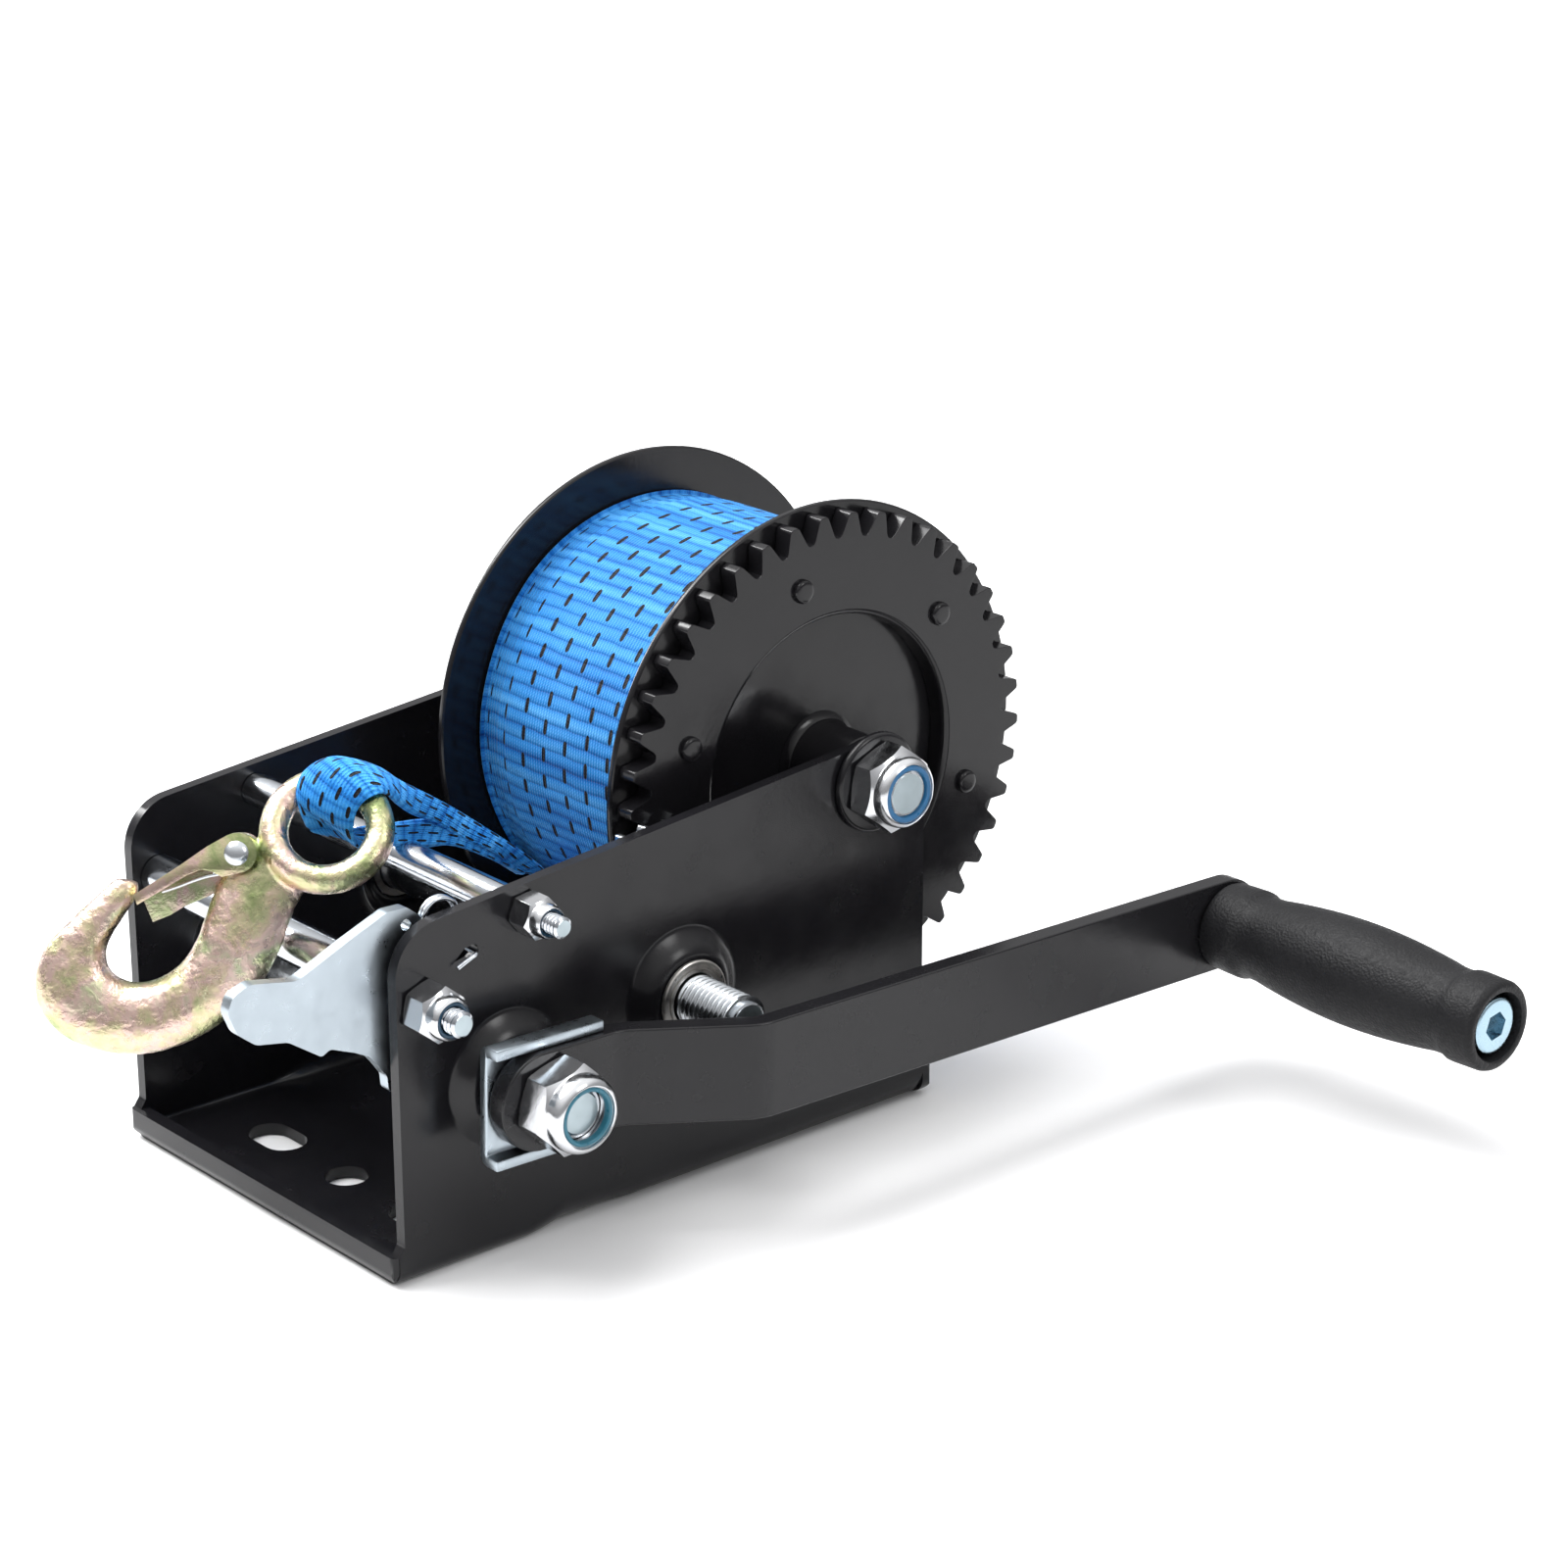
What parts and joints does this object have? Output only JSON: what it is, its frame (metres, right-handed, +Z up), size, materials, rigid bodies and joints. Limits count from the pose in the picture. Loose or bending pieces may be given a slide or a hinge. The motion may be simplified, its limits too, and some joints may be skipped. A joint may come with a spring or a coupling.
{
  "type": "boat trailer winch",
  "caption": "Two-speed hand winch: channel frame, geared drum wound with webbing, latched hook, reversible pawl and a cranked handle with a turning grip.",
  "frame": {"origin": "underside of the base, midway between the side plates and midway along the base", "axes": "+X along the shafts towards the crank handle, +Y along the base towards the drum, +Z up from the base"},
  "size_m": [0.237, 0.2841, 0.1492],
  "materials": {
    "black_paint": "gloss black paint",
    "zinc": "bright zinc plate",
    "grip_rubber": "moulded matt black plastic with a fine grain",
    "nylon": "coloured nylon locking ring",
    "bushing": "plain sintered steel bearing",
    "chromate": "yellow chromate over zinc",
    "webbing": "woven polyester webbing, blue with short black flecks"
  },
  "bodies": {
    "frame": {"frame": "black_paint", "drum_axle_tube": "zinc", "drum_axle_bolt": "zinc", "drum_washer_near": "black_paint", "drum_washer_far": "black_paint", "drum_nut": "zinc", "drum_nut_ring": "nylon", "crank_bushing_near": "bushing", "crank_bushing_far": "bushing", "counter_bushing_near": "bushing", "counter_bushing_far": "bushing", "tie_rod_upper": "zinc", "tie_rod_lower": "zinc", "tie_nut_upper_near": "zinc", "tie_nut_upper_far": "zinc", "tie_nut_lower_near": "zinc", "tie_nut_lower_far": "zinc", "tie_ring_upper_near": "nylon", "tie_ring_lower_near": "nylon", "pawl_spring": "zinc", "strap_tail": "webbing"},
    "drum": {"drum_flange_far": "black_paint", "drum_flange_near": "black_paint", "drum_core": "black_paint", "drum_gear": "black_paint", "drum_hub_near": "black_paint", "drum_hub_far": "black_paint", "strap_roll": "webbing", "gear_rivet_1": "black_paint", "gear_rivet_2": "black_paint", "gear_rivet_3": "black_paint", "gear_rivet_4": "black_paint", "gear_rivet_5": "black_paint", "gear_rivet_6": "black_paint"},
    "counter": {"countershaft": "zinc", "counter_pinion": "zinc", "counter_gear": "zinc", "counter_clip": "zinc"},
    "crank": {"crank_shaft": "zinc", "crank_pinion": "zinc", "ratchet_wheel": "zinc", "crank_clip": "zinc", "crank_spacer": "zinc", "arm_bracket": "zinc", "crank_arm": "black_paint", "crank_nut": "zinc", "crank_nut_ring": "nylon", "grip_bolt": "zinc", "grip_nut": "zinc"},
    "grip": {"grip": "grip_rubber"},
    "pawl": {"pawl_lever": "zinc"},
    "hook": {"hook": "chromate", "latch_pin": "zinc"},
    "latch": {"hook_latch": "chromate", "latch_spring": "zinc"}
  },
  "joints": [
    {"name": "drum_spin", "type": "hinge", "parent": "frame", "child": "drum", "pos_m": [0, 0.0602, 0.08596], "axis": [1, 0, 0], "continuous": true},
    {"name": "counter_spin", "type": "hinge", "parent": "frame", "child": "counter", "pos_m": [0, 0.0012, 0.0483], "axis": [1, 0, 0], "continuous": true},
    {"name": "crank_spin", "type": "hinge", "parent": "frame", "child": "crank", "pos_m": [0, -0.0488, 0.04205], "axis": [1, 0, 0], "continuous": true},
    {"name": "grip_spin", "type": "hinge", "parent": "crank", "child": "grip", "pos_m": [0, 0.14852, 0.03654], "axis": [1, 0, 0], "continuous": true},
    {"name": "pawl_pivot", "type": "hinge", "parent": "frame", "child": "pawl", "pos_m": [0, -0.0708, 0.0651], "axis": [1, 0, 0], "range_deg": [-11, 11]},
    {"name": "hook_swing", "type": "hinge", "parent": "frame", "child": "hook", "pos_m": [0.00683, -0.0615, 0.10254], "axis": [0.6574, 0.7536, 0], "range_deg": [-20, 0]},
    {"name": "latch_hinge", "type": "hinge", "parent": "hook", "child": "latch", "pos_m": [-0.00168, -0.07982, 0.08682], "axis": [0.7095, -0.6189, 0.3371], "range_deg": [0, 19], "stiffness_Nm_per_rad": 0.02, "springref_deg": -20.05}
  ],
  "couplings": [
    {"joint": "counter_spin", "follows": "drum_spin", "ratio": -5.25},
    {"joint": "crank_spin", "follows": "drum_spin", "ratio": 13.5}
  ]
}
